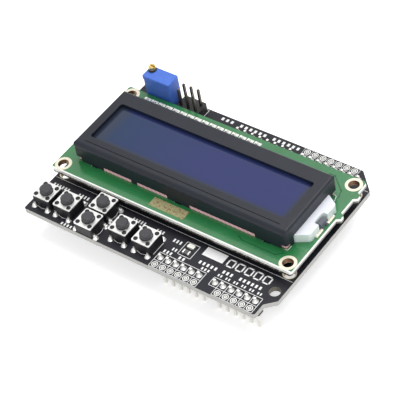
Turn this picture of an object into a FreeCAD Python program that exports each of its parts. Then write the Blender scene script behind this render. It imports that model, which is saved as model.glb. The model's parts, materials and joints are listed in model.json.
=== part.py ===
import FreeCAD, Part
import math
import os

Vec = FreeCAD.Vector

# A display shield that plugs onto a microcontroller board: a character display, six push buttons,
# a contrast trimmer and rows of header pins on one printed board.
# X runs along the long side, Y from the button side to the back, Z up, all in millimetres.
# Places in the plane are counted from the zero of the header grid, and save() centres them.
# Z = 0 is at the tips of the header pins, on which the shield stands.

# A cutter runs this far past what it cuts, and two places nearer than this are the same
CUT = 1.0
SAME_PLACE = 1e-6

# Small round things that repeat have flat sides, which keeps the facets of the whole part few
PAD_HOLE_SIDES = 6
SOLDER_SIDES = 6
RIVET_SIDES = 6
CAVITY_SIDES = 10
FLANGE_SIDES = 8
DOME_SIDES = 6
SEAL_SIDES = 12
DRIVER_SIDES = 12

# Headers
PITCH = 2.54
PIN_WIDTH = 0.64
PIN_TAPER = 0.17
PIN_BELOW_STRIP = 6.0
PIN_ABOVE_BOARD = 1.3
STRIP_HEIGHT = 2.54
STRIP_NOTCH = 0.4
POWER_FIRST_X = 33.02
POWER_COUNT = 6
POWER_TO_ANALOG = 5.08
ANALOG_COUNT = 6
DIGITAL_LOW_FIRST_X = 45.72
DIGITAL_LOW_COUNT = 8
DIGITAL_GAP = 4.06
DIGITAL_HIGH_COUNT = 8
FRONT_PIN_Y = 2.54
ROW_SPACING = 48.26

# Bare ring pads beside the headers
SPARE_HOLE = 1.0
SPARE_ANALOG_COUNT = 5
SPARE_BACK_COUNT = 7
SPARE_BACK_OFFSET = 2.23

# Shield board, whose edges keep a distance from what lies nearest to them
BOARD_THICKNESS = 1.6
BOARD_LEFT_EDGE = 1.42
BOARD_BACK_EDGE = 3.4
SPARE_PAD_EDGE = 1.3
SWITCH_EDGE = 0.15
FRONT_NOTCH_X = 2.78
FRONT_NOTCH_Y = 3.9
FRONT_CHAMFER = 2.78
BACK_CHAMFER = 5.6
BOARD_CORNER_RADIUS = 0.6
MOUNT_HOLE = 3.2
MOUNT_HOLE_BEHIND_PINS = 5.08
MOUNT_HOLE_EDGE = 2.54

# Display board
LCD_LENGTH = 80.0
LCD_DEPTH = 36.0
LCD_THICKNESS = 1.6
LCD_SHIFT = 0.13
LCD_TO_TRIMMER = 0.39
LCD_CORNER_RADIUS = 0.8
LCD_HOLE = 3.3
LCD_HOLE_INSET = 2.5
LCD_PIN_COUNT = 16
LCD_PIN_FIRST_INSET = 8.0
LCD_PIN_BACK_INSET = 2.5
LCD_PIN_ABOVE = 1.1
LCD_PIN_BELOW = 1.1
NUB_LENGTH = 1.1
NUB_ROOT = 2.6
NUB_TIP = 1.2
NUB_CENTRES_FROM_BACK = (13.8, 5.7)

# Display bezel, folded from sheet
BEZEL_SHEET = 0.5
BEZEL_LEFT_INSET = 4.6
BEZEL_RIGHT_INSET = 4.8
BEZEL_FRONT_INSET = 5.7
BEZEL_BACK_INSET = 6.9
BEZEL_FRONT_BEND = 1.5
BEZEL_BEND = 0.8
WINDOW_RADIUS = 0.7
WINDOW_LEFT_INSET = 3.0
WINDOW_RIGHT_INSET = 3.2
WINDOW_FRONT_INSET = 4.3
WINDOW_BACK_INSET = 4.8
CREASE_WIDTH = 0.35
CREASE_DEPTH = 0.15
CREASE_INSET = 2.05
CREASE_END_INSET = 3.1
FOOT_GAP_HEIGHT = 1.15
FOOT_GAPS = ((9.7, 9.8), (21.3, 10.4), (39.0, 21.4))
CORNER_SLIT = 1.1
CORNER_SLIT_HEIGHT = 1.5
TAB_WIDTH = 2.0
TAB_CLEARANCE = 0.2
TAB_FROM_ENDS = 6.6
TAB_FOOT = 1.4

# Display stack inside the bezel
BACKLIGHT_THICKNESS = 2.76
BACKLIGHT_FRONT_INSET = 3.5
BACKLIGHT_BACK_INSET = 3.7
BACKLIGHT_END_TAPER = 2.1
BACKLIGHT_REACH = 3.6
BACKLIGHT_CLEARANCE = 0.3
BACKLIGHT_END_RADIUS = 1.2
LED_POCKET_WIDTH = 4.2
LED_POCKET_DEPTH = 1.5
LED_POCKET_RADIUS = 0.6
LED_BODY_WIDTH = 2.6
LED_BODY_LENGTH = 1.2
LED_BODY_HEIGHT = 1.9
LED_LENS_RADIUS = 0.35
LED_LEAD = 0.4
LED_LEAD_GAP = 1.3
LED_LEAD_SPAN = 8.0
GLASS_THICKNESS = 1.15
GLASS_CLEARANCE = 0.35
GLASS_TO_BEZEL = 0.94
POLARISER_THICKNESS = 0.2
ZEBRA_WIDTH = 2.0
ZEBRA_CLEARANCE = 0.15
ZEBRA_LIP_INSET = 0.1
DRIVER_DIAMETER = 13.0
DRIVER_HEIGHT = 1.3
DRIVER_SHOULDER = 9.6
DRIVER_SHOULDER_HEIGHT = 0.9
DRIVER_TIP = 4.0
DRIVER_CENTRES = (26.0, 54.0)

# Six-pin programming header
PROG_FIRST_X = 5.17
PROG_BACK_EDGE = 1.7
PROG_COLUMNS = 3
PROG_ROWS = 2
PROG_PIN_ABOVE_STRIP = 6.0
PROG_PIN_BELOW_BOARD = 1.4

# Contrast trimmer
TRIMMER_TO_PROG = 0.77
TRIMMER_BACK_EDGE = 0.97
TRIMMER_LENGTH = 9.53
TRIMMER_DEPTH = 4.83
TRIMMER_HEIGHT = 9.8
TRIMMER_FOOT = 0.4
TRIMMER_FOOT_WIDTH = 1.0
TRIMMER_LIP = 0.3
TRIMMER_LIP_HEIGHT = 1.1
TRIMMER_EDGE = 0.35
TRIMMER_SCREW = 2.0
TRIMMER_SCREW_CHAMFER = 0.18
TRIMMER_SCREW_PROUD = 1.6
TRIMMER_SCREW_DEPTH = 1.6
TRIMMER_SCREW_CLEARANCE = 0.05
TRIMMER_SCREW_INSET_X = 1.45
TRIMMER_SCREW_INSET_Y = 1.45
TRIMMER_SLOT_WIDTH = 0.56
TRIMMER_SLOT_DEPTH = 0.76
TRIMMER_SEAL = 2.5
TRIMMER_SEAL_HEIGHT = 0.25
TRIMMER_LEAD = 0.5
TRIMMER_LEAD_BELOW = 1.4

# Push buttons: name, X, room to the display board besides other switches, switches between, turned
BUTTONS = (
    ("select", -7.0, 4.61, 0, False),
    ("left", 0.45, 4.61, 0, False),
    ("up", 9.8, 0.56, 0, True),
    ("down", 9.85, 1.16, 1, True),
    ("right", 19.5, 4.36, 0, False),
    ("reset", 27.5, 4.46, 0, False),
)
SWITCH_SIZE = 6.0
SWITCH_CORNER = 0.3
SWITCH_WALL = 0.55
SWITCH_BASE_HEIGHT = 3.3
SWITCH_COVER = 0.3
SWITCH_FLOOR = 1.9
RIVET_DIAMETER = 1.05
RIVET_INSET = 0.95
RIVET_PROUD = 0.1
PLUNGER_TOP = 5.0
PLUNGER_CHAMFER = 0.25
PLUNGER_CLEARANCE = 0.15
PLUNGER_REST_GAP = 0.03
FLANGE_STEP = 0.4
FLANGE_HEIGHT = 0.65
FLANGE_CLEARANCE = 0.3
DOME_CLEARANCE = 0.25
DOME_SLOPE = 0.9
DOME_RISE = 0.4
DOME_THICKNESS = 0.1
LEAD_WIDTH = 0.7
LEAD_THICKNESS = 0.3
LEAD_INSET = 0.75
LEAD_TOP = 1.2
LEAD_BELOW = 1.3

# Solder and small parts
SOLDER_DIAMETER = 1.9
SOLDER_TOP = 0.9
SOLDER_HEIGHT = 0.95
CHIP_LENGTH = 2.0
CHIP_WIDTH = 1.25
CHIP_HEIGHT = 0.6
POWER_LED_X = 38.2
POWER_LED_Y = 9.4
LED_RESISTOR_Y = 7.2
LADDER_FIRST_X = 8.0
LADDER_STEP = 4.0
LADDER_COUNT = 5
LADDER_Y = 19.0
TRANSISTOR_X = 34.0
TRANSISTOR_Y = 19.0
TRANSISTOR_LENGTH = 2.9
TRANSISTOR_WIDTH = 1.3
TRANSISTOR_HEIGHT = 1.0

# Heights that follow from the sizes above
board_bottom = PIN_BELOW_STRIP + STRIP_HEIGHT
board_top = board_bottom + BOARD_THICKNESS
lcd_bottom = board_top + STRIP_HEIGHT
lcd_top = lcd_bottom + LCD_THICKNESS
backlight_top = lcd_top + BACKLIGHT_THICKNESS
lower_glass_top = backlight_top + GLASS_THICKNESS
upper_glass_top = lower_glass_top + GLASS_THICKNESS
bezel_top = upper_glass_top + GLASS_TO_BEZEL + BEZEL_SHEET

# Places on the header grid
back_pin_y = FRONT_PIN_Y + ROW_SPACING
spare_front_y = FRONT_PIN_Y - PITCH
spare_back_y = back_pin_y + SPARE_BACK_OFFSET
analog_first_x = POWER_FIRST_X + (POWER_COUNT - 1) * PITCH + POWER_TO_ANALOG
digital_high_first_x = DIGITAL_LOW_FIRST_X - DIGITAL_GAP - (DIGITAL_HIGH_COUNT - 1) * PITCH
mount_hole_x = analog_first_x + ANALOG_COUNT * PITCH
mount_hole_y = FRONT_PIN_Y + MOUNT_HOLE_BEHIND_PINS

# Places from the back edge to the front
board_back = back_pin_y + BOARD_BACK_EDGE
prog_first_y = board_back - PROG_BACK_EDGE - (PROG_ROWS - 1) * PITCH
trimmer_back = board_back - TRIMMER_BACK_EDGE
trimmer_front = trimmer_back - TRIMMER_DEPTH
lcd_back = trimmer_front - LCD_TO_TRIMMER
lcd_front = lcd_back - LCD_DEPTH
bezel_front = lcd_front + BEZEL_FRONT_INSET
bezel_back = lcd_back - BEZEL_BACK_INSET
bezel_middle_y = (bezel_front + bezel_back) / 2
backlight_front = bezel_front + BACKLIGHT_FRONT_INSET
backlight_back = bezel_back - BACKLIGHT_BACK_INSET
backlight_middle = (backlight_front + backlight_back) / 2
lcd_pin_y = lcd_back - LCD_PIN_BACK_INSET
buttons = []
for name, x, room, between, turned in BUTTONS:
    buttons.append((name, x, lcd_front - room - (between + 0.5) * SWITCH_SIZE, turned))
switch_front = min(y for name, x, y, turned in buttons) - SWITCH_SIZE / 2
board_front = min(spare_front_y - SPARE_PAD_EDGE, switch_front - SWITCH_EDGE)

# Places from left to right. The board reaches past its corner hole and the display board's end.
board_left = min(x for name, x, y, turned in buttons) - SWITCH_SIZE / 2 - BOARD_LEFT_EDGE
lcd_left = board_left - LCD_SHIFT
lcd_right = lcd_left + LCD_LENGTH
board_right = max(mount_hole_x + MOUNT_HOLE_EDGE, lcd_right + LCD_SHIFT)
trimmer_right = PROG_FIRST_X - PITCH / 2 - TRIMMER_TO_PROG
trimmer_left = trimmer_right - TRIMMER_LENGTH
bezel_left = lcd_left + BEZEL_LEFT_INSET
bezel_right = lcd_right - BEZEL_RIGHT_INSET
bezel_middle_x = (bezel_left + bezel_right) / 2
backlight_end = bezel_right + BACKLIGHT_REACH
lcd_pin_first_x = lcd_left + LCD_PIN_FIRST_INSET
centre_x = (lcd_left + lcd_right + NUB_LENGTH) / 2
centre_y = (board_front + board_back) / 2

# Inside of a switch
switch_cavity = SWITCH_SIZE - 2 * SWITCH_WALL
plunger_flange = switch_cavity - 2 * FLANGE_CLEARANCE
plunger_diameter = plunger_flange - 2 * FLANGE_STEP
dome_diameter = switch_cavity - 2 * DOME_CLEARANCE
rivet_offset = SWITCH_SIZE / 2 - RIVET_INSET
lead_offset = SWITCH_SIZE / 2 - LEAD_INSET


def box(x0, x1, y0, y1, z0, z1):
    return Part.makeBox(x1 - x0, y1 - y0, z1 - z0, Vec(x0, y0, z0))


def post(x, y, z0, z1, diameter):
    return Part.makeCylinder(diameter / 2, z1 - z0, Vec(x, y, z0))


def bar(x, y, z0, z1, width):
    # A square upright bar.
    half = width / 2
    return box(x - half, x + half, y - half, y + half, z0, z1)


def frustum(x, y, z0, z1, low_width, high_width, sides):
    # A flat-sided post. Each width is measured across the flats, so a hole never cuts into its circle.
    rings = []
    for z, width in ((z0, low_width), (z1, high_width)):
        reach = width / 2 / math.cos(math.pi / sides)
        turns = [2 * math.pi * (i + 0.5) / sides for i in range(sides)]
        rings.append([Vec(x + reach * math.cos(turn), y + reach * math.sin(turn), z) for turn in turns])
    low, high = rings
    faces = [Part.Face(Part.makePolygon(ring + ring[:1])) for ring in rings]
    for i in range(sides):
        faces.append(Part.Face(Part.makePolygon([low[i - 1], low[i], high[i], high[i - 1], low[i - 1]])))
    return Part.Solid(Part.Shell(faces))


def prism(x, y, z0, z1, width, sides):
    return frustum(x, y, z0, z1, width, width, sides)


def slab(points, z0, z1):
    # Extrudes a closed outline given by its corners.
    corners = [Vec(x, y, z0) for x, y in points]
    face = Part.Face(Part.makePolygon(corners + corners[:1]))
    return face.extrude(Vec(0, 0, z1 - z0))


def upright_edges(shape, low_x=-math.inf, high_x=math.inf):
    # The straight vertical edges whose X lies between the two limits.
    found = []
    for edge in shape.Edges:
        a, b = edge.Vertexes[0].Point, edge.Vertexes[-1].Point
        upright = abs(a.x - b.x) < SAME_PLACE and abs(a.y - b.y) < SAME_PLACE
        if upright and low_x <= a.x <= high_x:
            found.append(edge)
    return found


def level_edges(shape, z, x=None, y=None):
    # The edges at one height, and at one X or one Y where that is given.
    found = []
    for edge in shape.Edges:
        ends = [vertex.Point for vertex in edge.Vertexes]
        here = all(abs(end.z - z) < SAME_PLACE for end in ends)
        here = here and (x is None or all(abs(end.x - x) < SAME_PLACE for end in ends))
        here = here and (y is None or all(abs(end.y - y) < SAME_PLACE for end in ends))
        if here:
            found.append(edge)
    return found


def rounded_plate(x0, x1, y0, y1, z0, z1, radius):
    plate = box(x0, x1, y0, y1, z0, z1)
    return plate.makeFillet(radius, upright_edges(plate))


def chamfered_plate(x0, x1, y0, y1, z0, z1, corner):
    plate = box(x0, x1, y0, y1, z0, z1)
    return plate.makeChamfer(corner, upright_edges(plate))


def row(first_x, count, y):
    return [(first_x + i * PITCH, y) for i in range(count)]


def save(name, shape):
    placed = shape.copy()
    placed.translate(Vec(-centre_x, -centre_y, 0))
    placed.exportStep("parts/" + name + ".step")


# Rows of the header grid
power_row = row(POWER_FIRST_X, POWER_COUNT, FRONT_PIN_Y)
analog_row = row(analog_first_x, ANALOG_COUNT, FRONT_PIN_Y)
digital_low_row = row(DIGITAL_LOW_FIRST_X, DIGITAL_LOW_COUNT, back_pin_y)
digital_high_row = row(digital_high_first_x, DIGITAL_HIGH_COUNT, back_pin_y)
stacking_pins = power_row + analog_row + digital_low_row + digital_high_row
spare_pads = row(POWER_FIRST_X, POWER_COUNT, spare_front_y)
spare_pads += row(analog_first_x + PITCH, SPARE_ANALOG_COUNT, spare_front_y)
spare_pads += row(DIGITAL_LOW_FIRST_X, SPARE_BACK_COUNT, spare_back_y)
lcd_row = row(lcd_pin_first_x, LCD_PIN_COUNT, lcd_pin_y)
prog_grid = []
for line in range(PROG_ROWS):
    prog_grid += row(PROG_FIRST_X, PROG_COLUMNS, prog_first_y + line * PITCH)

# Holes of the display board, which the shield board repeats
lcd_holes = []
for x in (lcd_left + LCD_HOLE_INSET, lcd_right - LCD_HOLE_INSET):
    for y in (lcd_front + LCD_HOLE_INSET, lcd_back - LCD_HOLE_INSET):
        lcd_holes.append((x, y))

# Trimmer leads stand in one line under the middle of its body
trimmer_middle_x = trimmer_left + TRIMMER_LENGTH / 2
trimmer_middle_y = trimmer_front + TRIMMER_DEPTH / 2
trimmer_leads = [(trimmer_middle_x + i * PITCH, trimmer_middle_y) for i in (-1, 0, 1)]


def lead_box(button, along, side, z0, z1):
    # The space of one flat leg, against the front or back of its switch, or at the left or right if turned.
    name, x, y, turned = button
    near = SWITCH_SIZE / 2
    across = sorted((side * near, side * (near + LEAD_THICKNESS)))
    length = (along - LEAD_WIDTH / 2, along + LEAD_WIDTH / 2)
    xs, ys = (across, length) if turned else (length, across)
    return box(x + xs[0], x + xs[1], y + ys[0], y + ys[1], z0, z1)


def all_lead_boxes(z0, z1):
    leads = []
    for button in buttons:
        for along in (-lead_offset, lead_offset):
            for side in (-1, 1):
                leads.append(lead_box(button, along, side, z0, z1))
    return leads


def shield_pcb():
    left, right, front, back = board_left, board_right, board_front, board_back
    notch_x = right - FRONT_NOTCH_X
    notch_y = front + FRONT_NOTCH_Y
    outline = [
        (left, front), (notch_x, front), (notch_x, notch_y), (right, notch_y + FRONT_CHAMFER),
        (right, back - BACK_CHAMFER), (right - BACK_CHAMFER, back), (left, back),
    ]
    board = slab(outline, board_bottom, board_top)
    board = board.makeFillet(BOARD_CORNER_RADIUS, upright_edges(board))
    low, high = board_bottom - CUT, board_top + CUT
    # A soldered hole is filled, so it is cut to the pin or leg that it holds.
    holes = [bar(x, y, low, high, PIN_WIDTH) for x, y in stacking_pins + lcd_row + prog_grid]
    holes += [bar(x, y, low, high, TRIMMER_LEAD) for x, y in trimmer_leads]
    holes += all_lead_boxes(low, high)
    holes += [prism(x, y, low, high, SPARE_HOLE, PAD_HOLE_SIDES) for x, y in spare_pads]
    holes += [post(x, y, low, high, LCD_HOLE) for x, y in lcd_holes]
    holes.append(post(mount_hole_x, mount_hole_y, low, high, MOUNT_HOLE))
    return board.cut(holes)


# Tabs of the bezel, three along each long side
tab_places = []
for x in (bezel_left + TAB_FROM_ENDS, bezel_middle_x, bezel_right - TAB_FROM_ENDS):
    tab_places += [(x, bezel_front), (x, bezel_back - BEZEL_SHEET)]


def tab_box(x, y, grow, z0, z1):
    # A tab in the front or rear flange of the bezel, or its slot when grown by a clearance.
    half = TAB_WIDTH / 2 + grow
    return box(x - half, x + half, y - grow, y + BEZEL_SHEET + grow, z0, z1)


def lcd_pcb():
    board = rounded_plate(lcd_left, lcd_right, lcd_front, lcd_back, lcd_bottom, lcd_top, LCD_CORNER_RADIUS)
    for centre in NUB_CENTRES_FROM_BACK:
        y = lcd_back - centre
        nub = [
            (lcd_right, y - NUB_ROOT / 2), (lcd_right + NUB_LENGTH, y - NUB_TIP / 2),
            (lcd_right + NUB_LENGTH, y + NUB_TIP / 2), (lcd_right, y + NUB_ROOT / 2),
        ]
        board = board.fuse(slab(nub, lcd_bottom, lcd_top))
    low, high = lcd_bottom - CUT, lcd_top + CUT
    holes = [post(x, y, low, high, LCD_HOLE) for x, y in lcd_holes]
    holes += [bar(x, y, low, high, PIN_WIDTH) for x, y in lcd_row]
    holes += [tab_box(x, y, TAB_CLEARANCE, low, high) for x, y in tab_places]
    return board.cut(holes).removeSplitter()


def bent_cover(inset, top, bend, front_bend):
    # A block with rounded upper edges, made where a long section and an end section cross.
    x0, x1 = bezel_left + inset, bezel_right - inset
    y0, y1 = bezel_front + inset, bezel_back - inset
    block = rounded_plate(x0, x1, y0, y1, lcd_top, top, bend)
    side = box(x0, x1, y0, y1, lcd_top, top)
    side = side.makeFillet(front_bend, level_edges(side, top, y=y0))
    side = side.makeFillet(bend, level_edges(side, top, y=y1))
    end = box(x0, x1, y0, y1, lcd_top, top)
    end = end.makeFillet(bend, level_edges(end, top, x=x0) + level_edges(end, top, x=x1))
    return block.common(side).common(end)


def lcd_bezel():
    sheet = BEZEL_SHEET
    shell = bent_cover(0, bezel_top, BEZEL_BEND, BEZEL_FRONT_BEND)
    shell = shell.cut(bent_cover(sheet, bezel_top - sheet, BEZEL_BEND - sheet, BEZEL_FRONT_BEND - sheet))
    window_x = bezel_left + WINDOW_LEFT_INSET
    window_y = bezel_front + WINDOW_FRONT_INSET
    window = rounded_plate(window_x, bezel_right - WINDOW_RIGHT_INSET,
                           window_y, bezel_back - WINDOW_BACK_INSET,
                           bezel_top - CUT, bezel_top + CUT, WINDOW_RADIUS)
    cuts = [window]
    crease_y = bezel_front + CREASE_INSET
    cuts.append(box(bezel_left + CREASE_END_INSET, bezel_right - CREASE_END_INSET,
                    crease_y, crease_y + CREASE_WIDTH, bezel_top - CREASE_DEPTH, bezel_top + CUT))
    for start, length in FOOT_GAPS:
        for y in (bezel_front, bezel_back - sheet):
            cuts.append(box(bezel_left + start, bezel_left + start + length, y - CUT, y + sheet + CUT,
                            lcd_top, lcd_top + FOOT_GAP_HEIGHT))
    for x in (bezel_left, bezel_right - CORNER_SLIT):
        for y in (bezel_front, bezel_back - CORNER_SLIT):
            cuts.append(box(x - CUT, x + CORNER_SLIT + CUT, y - CUT, y + CORNER_SLIT + CUT,
                            lcd_top, lcd_top + CORNER_SLIT_HEIGHT))
    cuts.append(box(bezel_right - CUT, bezel_right + CUT, backlight_front - BACKLIGHT_CLEARANCE,
                    backlight_back + BACKLIGHT_CLEARANCE, lcd_top, backlight_top))
    low = lcd_bottom - sheet
    tabs = []
    for x, y in tab_places:
        tabs.append(tab_box(x, y, 0, low, lcd_top + CUT))
        foot_y = y if y < bezel_middle_y else y + sheet - TAB_FOOT
        tabs.append(box(x - TAB_WIDTH / 2, x + TAB_WIDTH / 2, foot_y, foot_y + TAB_FOOT, low, lcd_bottom))
    return shell.cut(cuts).fuse(tabs).removeSplitter()


def backlight_block():
    # Clear block with a tapered end that reaches out under the bezel and holds the lamp in a pocket.
    left = bezel_left + BEZEL_SHEET + BACKLIGHT_CLEARANCE
    neck, end = bezel_right, backlight_end
    front, back = backlight_front, backlight_back
    outline = [
        (left, front), (neck, front), (end, front + BACKLIGHT_END_TAPER),
        (end, back - BACKLIGHT_END_TAPER), (neck, back), (left, back),
    ]
    block = slab(outline, lcd_top, backlight_top)
    block = block.makeFillet(BACKLIGHT_END_RADIUS, upright_edges(block, low_x=neck - SAME_PLACE))
    half = LED_POCKET_WIDTH / 2
    pocket = box(end - LED_POCKET_DEPTH, end + CUT, backlight_middle - half, backlight_middle + half,
                 lcd_top - CUT, backlight_top + CUT)
    return block.cut(pocket.makeFillet(LED_POCKET_RADIUS, upright_edges(pocket, high_x=end)))


def backlight_led():
    # Side-view lamp with a leg that runs along the board's edge to each side.
    middle = backlight_middle
    back = backlight_end - LED_POCKET_DEPTH + BACKLIGHT_CLEARANCE
    front = back + LED_BODY_LENGTH
    half = LED_BODY_WIDTH / 2
    body = box(back, front, middle - half, middle + half, lcd_top, lcd_top + LED_BODY_HEIGHT)
    lens = body.makeFillet(LED_LENS_RADIUS, upright_edges(body, high_x=back + SAME_PLACE))
    leg_x = backlight_end + LED_LEAD / 2
    leg_top = lcd_top + LED_LEAD
    legs = []
    for side in (-1, 1):
        inner = middle + side * LED_LEAD_GAP / 2
        outer = middle + side * half
        end = middle + side * LED_LEAD_SPAN / 2
        legs.append(box(front, leg_x + LED_LEAD, min(inner, outer), max(inner, outer), lcd_top, leg_top))
        legs.append(box(leg_x, leg_x + LED_LEAD, min(inner, end), max(inner, end), lcd_top, leg_top))
    return lens.fuse(legs).removeSplitter()


def lcd_glass():
    # Two bonded panes. The upper one overhangs the lower at front and back, over the contact strips.
    inside = BEZEL_SHEET + GLASS_CLEARANCE
    x0, x1 = bezel_left + inside, bezel_right - inside
    y0, y1 = backlight_front, backlight_back
    upper = box(x0, x1, bezel_front + inside, bezel_back - inside, lower_glass_top, upper_glass_top)
    lower = box(x0, x1, y0, y1, backlight_top, lower_glass_top)
    film = box(x0 + inside, x1 - inside, y0, y1, upper_glass_top, upper_glass_top + POLARISER_THICKNESS)
    return upper.fuse([lower, film]).removeSplitter()


def zebra_strip(y0, y1, lip_y0, lip_y1):
    # A contact strip against the inside of the bezel, with low lips that fill the gaps of the wall's foot.
    inside = BEZEL_SHEET + ZEBRA_CLEARANCE
    strip_box = box(bezel_left + inside, bezel_right - inside, y0, y1, lcd_top, lower_glass_top)
    lips = []
    for start, length in FOOT_GAPS:
        gap_left = bezel_left + start
        lips.append(box(gap_left + ZEBRA_CLEARANCE, gap_left + length - ZEBRA_CLEARANCE, lip_y0, lip_y1,
                        lcd_top, lcd_top + FOOT_GAP_HEIGHT - ZEBRA_CLEARANCE))
    return strip_box.fuse(lips).removeSplitter()


def front_zebra_strip():
    start = bezel_front + BEZEL_SHEET + ZEBRA_CLEARANCE
    return zebra_strip(start, start + ZEBRA_WIDTH, bezel_front + ZEBRA_LIP_INSET, start + CUT)


def rear_zebra_strip():
    end = bezel_back - BEZEL_SHEET - ZEBRA_CLEARANCE
    return zebra_strip(end - ZEBRA_WIDTH, end, end - CUT, bezel_back - ZEBRA_LIP_INSET)


def driver_blobs():
    # Drops of black resin over the driver chips, on the underside of the display board.
    shoulder = lcd_bottom - DRIVER_SHOULDER_HEIGHT
    tip = lcd_bottom - DRIVER_HEIGHT
    blobs = []
    for x_in in DRIVER_CENTRES:
        x, y = lcd_left + x_in, bezel_middle_y
        wide = frustum(x, y, shoulder, lcd_bottom, DRIVER_SHOULDER, DRIVER_DIAMETER, DRIVER_SIDES)
        crown = frustum(x, y, tip, shoulder, DRIVER_TIP, DRIVER_SHOULDER, DRIVER_SIDES)
        blobs.append(wide.fuse(crown))
    return Part.makeCompound(blobs)


def pin(x, y, z0, z1, free_top=False):
    # A square header pin, tapered at its foot, and at its top too where that is free.
    shape = bar(x, y, z0, z1, PIN_WIDTH)
    ends = level_edges(shape, z0)
    if free_top:
        ends += level_edges(shape, z1)
    return shape.makeChamfer(PIN_TAPER, ends)


def strip(first_x, first_y, columns, rows, z0):
    # Moulded header strip with a notch between neighbours and a square hole for each pin.
    half = PITCH / 2
    front, back = first_y - half, first_y + (rows - 1) * PITCH + half
    front_side, back_side = [], []
    for i in range(columns):
        x0 = first_x + i * PITCH - half
        x1 = x0 + PITCH
        front_side += [(x0, front + STRIP_NOTCH), (x0 + STRIP_NOTCH, front), (x1 - STRIP_NOTCH, front)]
        back_side += [(x0, back - STRIP_NOTCH), (x0 + STRIP_NOTCH, back), (x1 - STRIP_NOTCH, back)]
    end_x = first_x + (columns - 1) * PITCH + half
    front_side.append((end_x, front + STRIP_NOTCH))
    back_side.append((end_x, back - STRIP_NOTCH))
    body = slab(front_side + back_side[::-1], z0, z0 + STRIP_HEIGHT)
    holes = []
    for i in range(columns):
        for j in range(rows):
            x, y = first_x + i * PITCH, first_y + j * PITCH
            holes.append(bar(x, y, z0 - CUT, z0 + STRIP_HEIGHT + CUT, PIN_WIDTH))
    return body.cut(holes)


def stacking_strip(first_x, count, y):
    return strip(first_x, y, count, 1, board_bottom - STRIP_HEIGHT)


def stacking_pin_row(places):
    return Part.makeCompound([pin(x, y, 0, board_top + PIN_ABOVE_BOARD) for x, y in places])


def lcd_header_pins():
    low, high = board_bottom - LCD_PIN_BELOW, lcd_top + LCD_PIN_ABOVE
    return Part.makeCompound([bar(x, y, low, high, PIN_WIDTH) for x, y in lcd_row])


def prog_header_pins():
    low = board_bottom - PROG_PIN_BELOW_BOARD
    high = board_top + STRIP_HEIGHT + PROG_PIN_ABOVE_STRIP
    return Part.makeCompound([pin(x, y, low, high, free_top=True) for x, y in prog_grid])


# Trimmer
trimmer_top = board_top + TRIMMER_FOOT + TRIMMER_HEIGHT
screw_x = trimmer_left + TRIMMER_SCREW_INSET_X
screw_y = trimmer_back - TRIMMER_SCREW_INSET_Y
screw_foot = trimmer_top - TRIMMER_SCREW_DEPTH
trimmer_bore = TRIMMER_SCREW + 2 * TRIMMER_SCREW_CLEARANCE


def trimmer_body():
    low = board_top + TRIMMER_FOOT
    lip = trimmer_top - TRIMMER_LIP_HEIGHT
    front, back = trimmer_front, trimmer_back
    column = chamfered_plate(trimmer_left + TRIMMER_LIP, trimmer_right, front, back, low, lip, TRIMMER_EDGE)
    cap = chamfered_plate(trimmer_left, trimmer_right, front, back, lip, trimmer_top, TRIMMER_EDGE)
    cap = cap.makeChamfer(TRIMMER_EDGE / 2, level_edges(cap, trimmer_top))
    feet = []
    inset = TRIMMER_LIP + TRIMMER_EDGE
    for x in (trimmer_left + inset, trimmer_right - inset - TRIMMER_FOOT_WIDTH):
        for y in (front + inset, back - inset - TRIMMER_FOOT_WIDTH):
            feet.append(box(x, x + TRIMMER_FOOT_WIDTH, y, y + TRIMMER_FOOT_WIDTH, board_top, low))
    bore = post(screw_x, screw_y, screw_foot, trimmer_top + CUT, trimmer_bore)
    return column.fuse([cap] + feet).removeSplitter().cut(bore)


def trimmer_screw():
    top = trimmer_top + TRIMMER_SCREW_PROUD
    screw = post(screw_x, screw_y, screw_foot + TRIMMER_SCREW_CLEARANCE, top, TRIMMER_SCREW)
    screw = screw.makeChamfer(TRIMMER_SCREW_CHAMFER, level_edges(screw, top))
    half = TRIMMER_SLOT_WIDTH / 2
    reach = TRIMMER_SCREW
    return screw.cut(box(screw_x - reach, screw_x + reach, screw_y - half, screw_y + half,
                         top - TRIMMER_SLOT_DEPTH, top + CUT))


def trimmer_seal():
    ring = prism(screw_x, screw_y, trimmer_top, trimmer_top + TRIMMER_SEAL_HEIGHT, TRIMMER_SEAL, SEAL_SIDES)
    return ring.cut(prism(screw_x, screw_y, trimmer_top - CUT, trimmer_top + CUT, trimmer_bore, SEAL_SIDES))


def trimmer_lead_pins():
    low, high = board_bottom - TRIMMER_LEAD_BELOW, board_top + TRIMMER_FOOT
    return Part.makeCompound([bar(x, y, low, high, TRIMMER_LEAD) for x, y in trimmer_leads])


# Push switch, with heights counted from the board
cover_low = board_top + SWITCH_BASE_HEIGHT
cover_high = cover_low + SWITCH_COVER
floor = board_top + SWITCH_FLOOR
rivets = [(i * rivet_offset, j * rivet_offset) for i in (-1, 1) for j in (-1, 1)]


def switch_base(x, y):
    # The housing with its round cavity and the four moulded rivets that hold the cover.
    half = SWITCH_SIZE / 2
    base = chamfered_plate(x - half, x + half, y - half, y + half, board_top, cover_low, SWITCH_CORNER)
    base = base.cut(prism(x, y, floor, cover_low + CUT, switch_cavity, CAVITY_SIDES))
    head = cover_high + RIVET_PROUD
    posts = [prism(x + dx, y + dy, cover_low, head, RIVET_DIAMETER, RIVET_SIDES) for dx, dy in rivets]
    return base.fuse(posts)


def switch_cover(x, y):
    half = SWITCH_SIZE / 2
    low, high = cover_low - CUT, cover_high + CUT
    plate = chamfered_plate(x - half, x + half, y - half, y + half, cover_low, cover_high, SWITCH_CORNER)
    holes = [prism(x + dx, y + dy, low, high, RIVET_DIAMETER, RIVET_SIDES) for dx, dy in rivets]
    holes.append(post(x, y, low, high, plunger_diameter + 2 * PLUNGER_CLEARANCE))
    return plate.cut(holes)


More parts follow.
